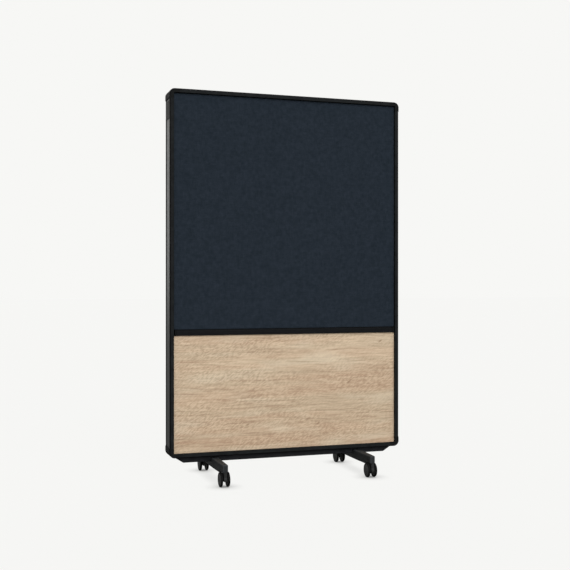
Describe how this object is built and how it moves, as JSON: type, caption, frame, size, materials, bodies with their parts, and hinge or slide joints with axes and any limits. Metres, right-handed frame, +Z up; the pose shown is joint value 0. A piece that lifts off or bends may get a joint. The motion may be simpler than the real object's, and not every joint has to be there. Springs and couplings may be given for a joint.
{
  "type": "rolling partition",
  "caption": "Two-sided rolling office partition: fabric panel over a hooking rail and a wood laminate panel, in a rounded frame on cross feet with twin-wheel swivel casters.",
  "frame": {"origin": "on the floor under the middle of the screen", "axes": "+Z up, +X along the screen's width to the right as seen from the front, front face towards -Y"},
  "size_m": [1.205, 0.496, 1.898],
  "materials": {
    "frame": "matte",
    "cap": "matte",
    "strip": "satin",
    "link_cover": "matte",
    "fabric": "matte",
    "board": "matte",
    "laminate": "satin",
    "rail": "satin",
    "core": "matte",
    "beam": "satin",
    "foot": "matte",
    "caster_body": "satin",
    "hub": "satin",
    "tyre": "matte",
    "steel": "satin"
  },
  "bodies": {
    "screen": {"right_upright": "frame", "left_upright": "frame", "top_rail": "frame", "bottom_rail": "frame", "middle_rail": "frame", "corner_cap_top_left": "cap", "corner_cap_top_right": "cap", "corner_cap_bottom_left": "cap", "corner_cap_bottom_right": "cap", "left_side_strip": "strip", "left_link_cover": "link_cover", "right_side_strip": "strip", "right_link_cover": "link_cover", "front_upper_board": "board", "front_fabric_cover": "fabric", "front_laminate_panel": "laminate", "front_hooking_rail": "rail", "front_rail_cap_right": "cap", "front_rail_cap_left": "cap", "rear_upper_board": "board", "rear_fabric_cover": "fabric", "rear_laminate_panel": "laminate", "rear_hooking_rail": "rail", "rear_rail_cap_right": "cap", "rear_rail_cap_left": "cap", "upper_core": "core", "lower_core": "core", "base_beam": "beam", "left_foot": "foot", "right_foot": "foot", "front_left_caster_stem": "steel", "front_right_caster_stem": "steel", "rear_left_caster_stem": "steel", "rear_right_caster_stem": "steel"},
    "front_left_caster": {"front_left_caster_body": "caster_body", "front_left_caster_axle": "steel"},
    "front_left_left_wheel": {"front_left_caster_left_hub": "hub", "front_left_caster_left_tyre": "tyre"},
    "front_left_right_wheel": {"front_left_caster_right_hub": "hub", "front_left_caster_right_tyre": "tyre"},
    "front_right_caster": {"front_right_caster_body": "caster_body", "front_right_caster_axle": "steel"},
    "front_right_left_wheel": {"front_right_caster_left_hub": "hub", "front_right_caster_left_tyre": "tyre"},
    "front_right_right_wheel": {"front_right_caster_right_hub": "hub", "front_right_caster_right_tyre": "tyre"},
    "rear_left_caster": {"rear_left_caster_body": "caster_body", "rear_left_caster_axle": "steel"},
    "rear_left_left_wheel": {"rear_left_caster_left_hub": "hub", "rear_left_caster_left_tyre": "tyre"},
    "rear_left_right_wheel": {"rear_left_caster_right_hub": "hub", "rear_left_caster_right_tyre": "tyre"},
    "rear_right_caster": {"rear_right_caster_body": "caster_body", "rear_right_caster_axle": "steel"},
    "rear_right_left_wheel": {"rear_right_caster_left_hub": "hub", "rear_right_caster_left_tyre": "tyre"},
    "rear_right_right_wheel": {"rear_right_caster_right_hub": "hub", "rear_right_caster_right_tyre": "tyre"}
  },
  "joints": [
    {"name": "front_left_swivel", "type": "hinge", "parent": "screen", "child": "front_left_caster", "pos_m": [-0.374, -0.231, 0.06], "axis": [0, 0, 1], "continuous": true},
    {"name": "front_left_left_roll", "type": "hinge", "parent": "front_left_caster", "child": "front_left_left_wheel", "pos_m": [-0.374, -0.213, 0.035], "axis": [1, 0, 0], "continuous": true},
    {"name": "front_left_right_roll", "type": "hinge", "parent": "front_left_caster", "child": "front_left_right_wheel", "pos_m": [-0.374, -0.213, 0.035], "axis": [1, 0, 0], "continuous": true},
    {"name": "front_right_swivel", "type": "hinge", "parent": "screen", "child": "front_right_caster", "pos_m": [0.374, -0.231, 0.06], "axis": [0, 0, 1], "continuous": true},
    {"name": "front_right_left_roll", "type": "hinge", "parent": "front_right_caster", "child": "front_right_left_wheel", "pos_m": [0.374, -0.213, 0.035], "axis": [1, 0, 0], "continuous": true},
    {"name": "front_right_right_roll", "type": "hinge", "parent": "front_right_caster", "child": "front_right_right_wheel", "pos_m": [0.374, -0.213, 0.035], "axis": [1, 0, 0], "continuous": true},
    {"name": "rear_left_swivel", "type": "hinge", "parent": "screen", "child": "rear_left_caster", "pos_m": [-0.374, 0.231, 0.06], "axis": [0, 0, 1], "continuous": true},
    {"name": "rear_left_left_roll", "type": "hinge", "parent": "rear_left_caster", "child": "rear_left_left_wheel", "pos_m": [-0.374, 0.213, 0.035], "axis": [1, 0, 0], "continuous": true},
    {"name": "rear_left_right_roll", "type": "hinge", "parent": "rear_left_caster", "child": "rear_left_right_wheel", "pos_m": [-0.374, 0.213, 0.035], "axis": [1, 0, 0], "continuous": true},
    {"name": "rear_right_swivel", "type": "hinge", "parent": "screen", "child": "rear_right_caster", "pos_m": [0.374, 0.231, 0.06], "axis": [0, 0, 1], "continuous": true},
    {"name": "rear_right_left_roll", "type": "hinge", "parent": "rear_right_caster", "child": "rear_right_left_wheel", "pos_m": [0.374, 0.213, 0.035], "axis": [1, 0, 0], "continuous": true},
    {"name": "rear_right_right_roll", "type": "hinge", "parent": "rear_right_caster", "child": "rear_right_right_wheel", "pos_m": [0.374, 0.213, 0.035], "axis": [1, 0, 0], "continuous": true}
  ]
}
